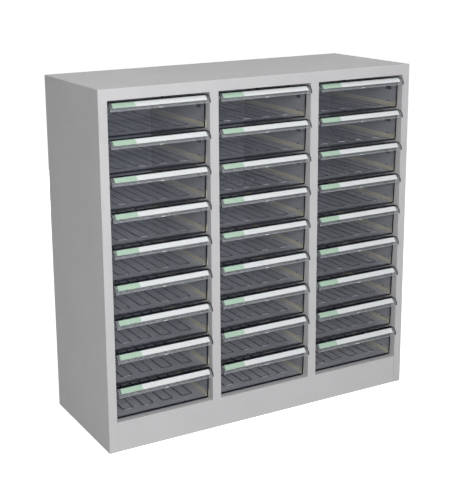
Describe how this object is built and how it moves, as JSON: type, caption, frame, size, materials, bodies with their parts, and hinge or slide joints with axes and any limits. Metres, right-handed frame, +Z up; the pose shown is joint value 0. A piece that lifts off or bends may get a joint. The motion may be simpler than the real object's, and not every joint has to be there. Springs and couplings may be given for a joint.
{
  "type": "document drawer cabinet",
  "caption": "Free-standing light grey steel cabinet with columns of shallow smoke-clear plastic tray drawers, each with a sloped label handle, for sorting paper documents.",
  "frame": {"origin": "on the floor, under the middle of the overall box, handles included", "axes": "+X to the right as seen from the front, +Y from the front to the back, +Z up"},
  "size_m": [0.88, 0.3376, 0.88],
  "materials": {
    "powder_coat": "satin",
    "smoke_plastic": "gloss",
    "label_strip": "gloss",
    "runner_plastic": "matte"
  },
  "bodies": {
    "cabinet": {"cabinet_shell": "powder_coat", "back_panel": "powder_coat", "base_plinth": "powder_coat", "side_liners": "powder_coat", "column_dividers": "powder_coat", "drawer_runners": "runner_plastic"},
    "drawer_left_1": {"tray_left_1": "smoke_plastic", "label_left_1": "label_strip"},
    "drawer_left_2": {"tray_left_2": "smoke_plastic", "label_left_2": "label_strip"},
    "drawer_left_3": {"tray_left_3": "smoke_plastic", "label_left_3": "label_strip"},
    "drawer_left_4": {"tray_left_4": "smoke_plastic", "label_left_4": "label_strip"},
    "drawer_left_5": {"tray_left_5": "smoke_plastic", "label_left_5": "label_strip"},
    "drawer_left_6": {"tray_left_6": "smoke_plastic", "label_left_6": "label_strip"},
    "drawer_left_7": {"tray_left_7": "smoke_plastic", "label_left_7": "label_strip"},
    "drawer_left_8": {"tray_left_8": "smoke_plastic", "label_left_8": "label_strip"},
    "drawer_left_9": {"tray_left_9": "smoke_plastic", "label_left_9": "label_strip"},
    "drawer_middle_1": {"tray_middle_1": "smoke_plastic", "label_middle_1": "label_strip"},
    "drawer_middle_2": {"tray_middle_2": "smoke_plastic", "label_middle_2": "label_strip"},
    "drawer_middle_3": {"tray_middle_3": "smoke_plastic", "label_middle_3": "label_strip"},
    "drawer_middle_4": {"tray_middle_4": "smoke_plastic", "label_middle_4": "label_strip"},
    "drawer_middle_5": {"tray_middle_5": "smoke_plastic", "label_middle_5": "label_strip"},
    "drawer_middle_6": {"tray_middle_6": "smoke_plastic", "label_middle_6": "label_strip"},
    "drawer_middle_7": {"tray_middle_7": "smoke_plastic", "label_middle_7": "label_strip"},
    "drawer_middle_8": {"tray_middle_8": "smoke_plastic", "label_middle_8": "label_strip"},
    "drawer_middle_9": {"tray_middle_9": "smoke_plastic", "label_middle_9": "label_strip"},
    "drawer_right_1": {"tray_right_1": "smoke_plastic", "label_right_1": "label_strip"},
    "drawer_right_2": {"tray_right_2": "smoke_plastic", "label_right_2": "label_strip"},
    "drawer_right_3": {"tray_right_3": "smoke_plastic", "label_right_3": "label_strip"},
    "drawer_right_4": {"tray_right_4": "smoke_plastic", "label_right_4": "label_strip"},
    "drawer_right_5": {"tray_right_5": "smoke_plastic", "label_right_5": "label_strip"},
    "drawer_right_6": {"tray_right_6": "smoke_plastic", "label_right_6": "label_strip"},
    "drawer_right_7": {"tray_right_7": "smoke_plastic", "label_right_7": "label_strip"},
    "drawer_right_8": {"tray_right_8": "smoke_plastic", "label_right_8": "label_strip"},
    "drawer_right_9": {"tray_right_9": "smoke_plastic", "label_right_9": "label_strip"}
  },
  "joints": [
    {"name": "slide_left_1", "type": "slide", "parent": "cabinet", "child": "drawer_left_1", "axis": [0, -1, 0], "range_m": [0, 0.24]},
    {"name": "slide_left_2", "type": "slide", "parent": "cabinet", "child": "drawer_left_2", "axis": [0, -1, 0], "range_m": [0, 0.24]},
    {"name": "slide_left_3", "type": "slide", "parent": "cabinet", "child": "drawer_left_3", "axis": [0, -1, 0], "range_m": [0, 0.24]},
    {"name": "slide_left_4", "type": "slide", "parent": "cabinet", "child": "drawer_left_4", "axis": [0, -1, 0], "range_m": [0, 0.24]},
    {"name": "slide_left_5", "type": "slide", "parent": "cabinet", "child": "drawer_left_5", "axis": [0, -1, 0], "range_m": [0, 0.24]},
    {"name": "slide_left_6", "type": "slide", "parent": "cabinet", "child": "drawer_left_6", "axis": [0, -1, 0], "range_m": [0, 0.24]},
    {"name": "slide_left_7", "type": "slide", "parent": "cabinet", "child": "drawer_left_7", "axis": [0, -1, 0], "range_m": [0, 0.24]},
    {"name": "slide_left_8", "type": "slide", "parent": "cabinet", "child": "drawer_left_8", "axis": [0, -1, 0], "range_m": [0, 0.24]},
    {"name": "slide_left_9", "type": "slide", "parent": "cabinet", "child": "drawer_left_9", "axis": [0, -1, 0], "range_m": [0, 0.24]},
    {"name": "slide_middle_1", "type": "slide", "parent": "cabinet", "child": "drawer_middle_1", "axis": [0, -1, 0], "range_m": [0, 0.24]},
    {"name": "slide_middle_2", "type": "slide", "parent": "cabinet", "child": "drawer_middle_2", "axis": [0, -1, 0], "range_m": [0, 0.24]},
    {"name": "slide_middle_3", "type": "slide", "parent": "cabinet", "child": "drawer_middle_3", "axis": [0, -1, 0], "range_m": [0, 0.24]},
    {"name": "slide_middle_4", "type": "slide", "parent": "cabinet", "child": "drawer_middle_4", "axis": [0, -1, 0], "range_m": [0, 0.24]},
    {"name": "slide_middle_5", "type": "slide", "parent": "cabinet", "child": "drawer_middle_5", "axis": [0, -1, 0], "range_m": [0, 0.24]},
    {"name": "slide_middle_6", "type": "slide", "parent": "cabinet", "child": "drawer_middle_6", "axis": [0, -1, 0], "range_m": [0, 0.24]},
    {"name": "slide_middle_7", "type": "slide", "parent": "cabinet", "child": "drawer_middle_7", "axis": [0, -1, 0], "range_m": [0, 0.24]},
    {"name": "slide_middle_8", "type": "slide", "parent": "cabinet", "child": "drawer_middle_8", "axis": [0, -1, 0], "range_m": [0, 0.24]},
    {"name": "slide_middle_9", "type": "slide", "parent": "cabinet", "child": "drawer_middle_9", "axis": [0, -1, 0], "range_m": [0, 0.24]},
    {"name": "slide_right_1", "type": "slide", "parent": "cabinet", "child": "drawer_right_1", "axis": [0, -1, 0], "range_m": [0, 0.24]},
    {"name": "slide_right_2", "type": "slide", "parent": "cabinet", "child": "drawer_right_2", "axis": [0, -1, 0], "range_m": [0, 0.24]},
    {"name": "slide_right_3", "type": "slide", "parent": "cabinet", "child": "drawer_right_3", "axis": [0, -1, 0], "range_m": [0, 0.24]},
    {"name": "slide_right_4", "type": "slide", "parent": "cabinet", "child": "drawer_right_4", "axis": [0, -1, 0], "range_m": [0, 0.24]},
    {"name": "slide_right_5", "type": "slide", "parent": "cabinet", "child": "drawer_right_5", "axis": [0, -1, 0], "range_m": [0, 0.24]},
    {"name": "slide_right_6", "type": "slide", "parent": "cabinet", "child": "drawer_right_6", "axis": [0, -1, 0], "range_m": [0, 0.24]},
    {"name": "slide_right_7", "type": "slide", "parent": "cabinet", "child": "drawer_right_7", "axis": [0, -1, 0], "range_m": [0, 0.24]},
    {"name": "slide_right_8", "type": "slide", "parent": "cabinet", "child": "drawer_right_8", "axis": [0, -1, 0], "range_m": [0, 0.24]},
    {"name": "slide_right_9", "type": "slide", "parent": "cabinet", "child": "drawer_right_9", "axis": [0, -1, 0], "range_m": [0, 0.24]}
  ]
}
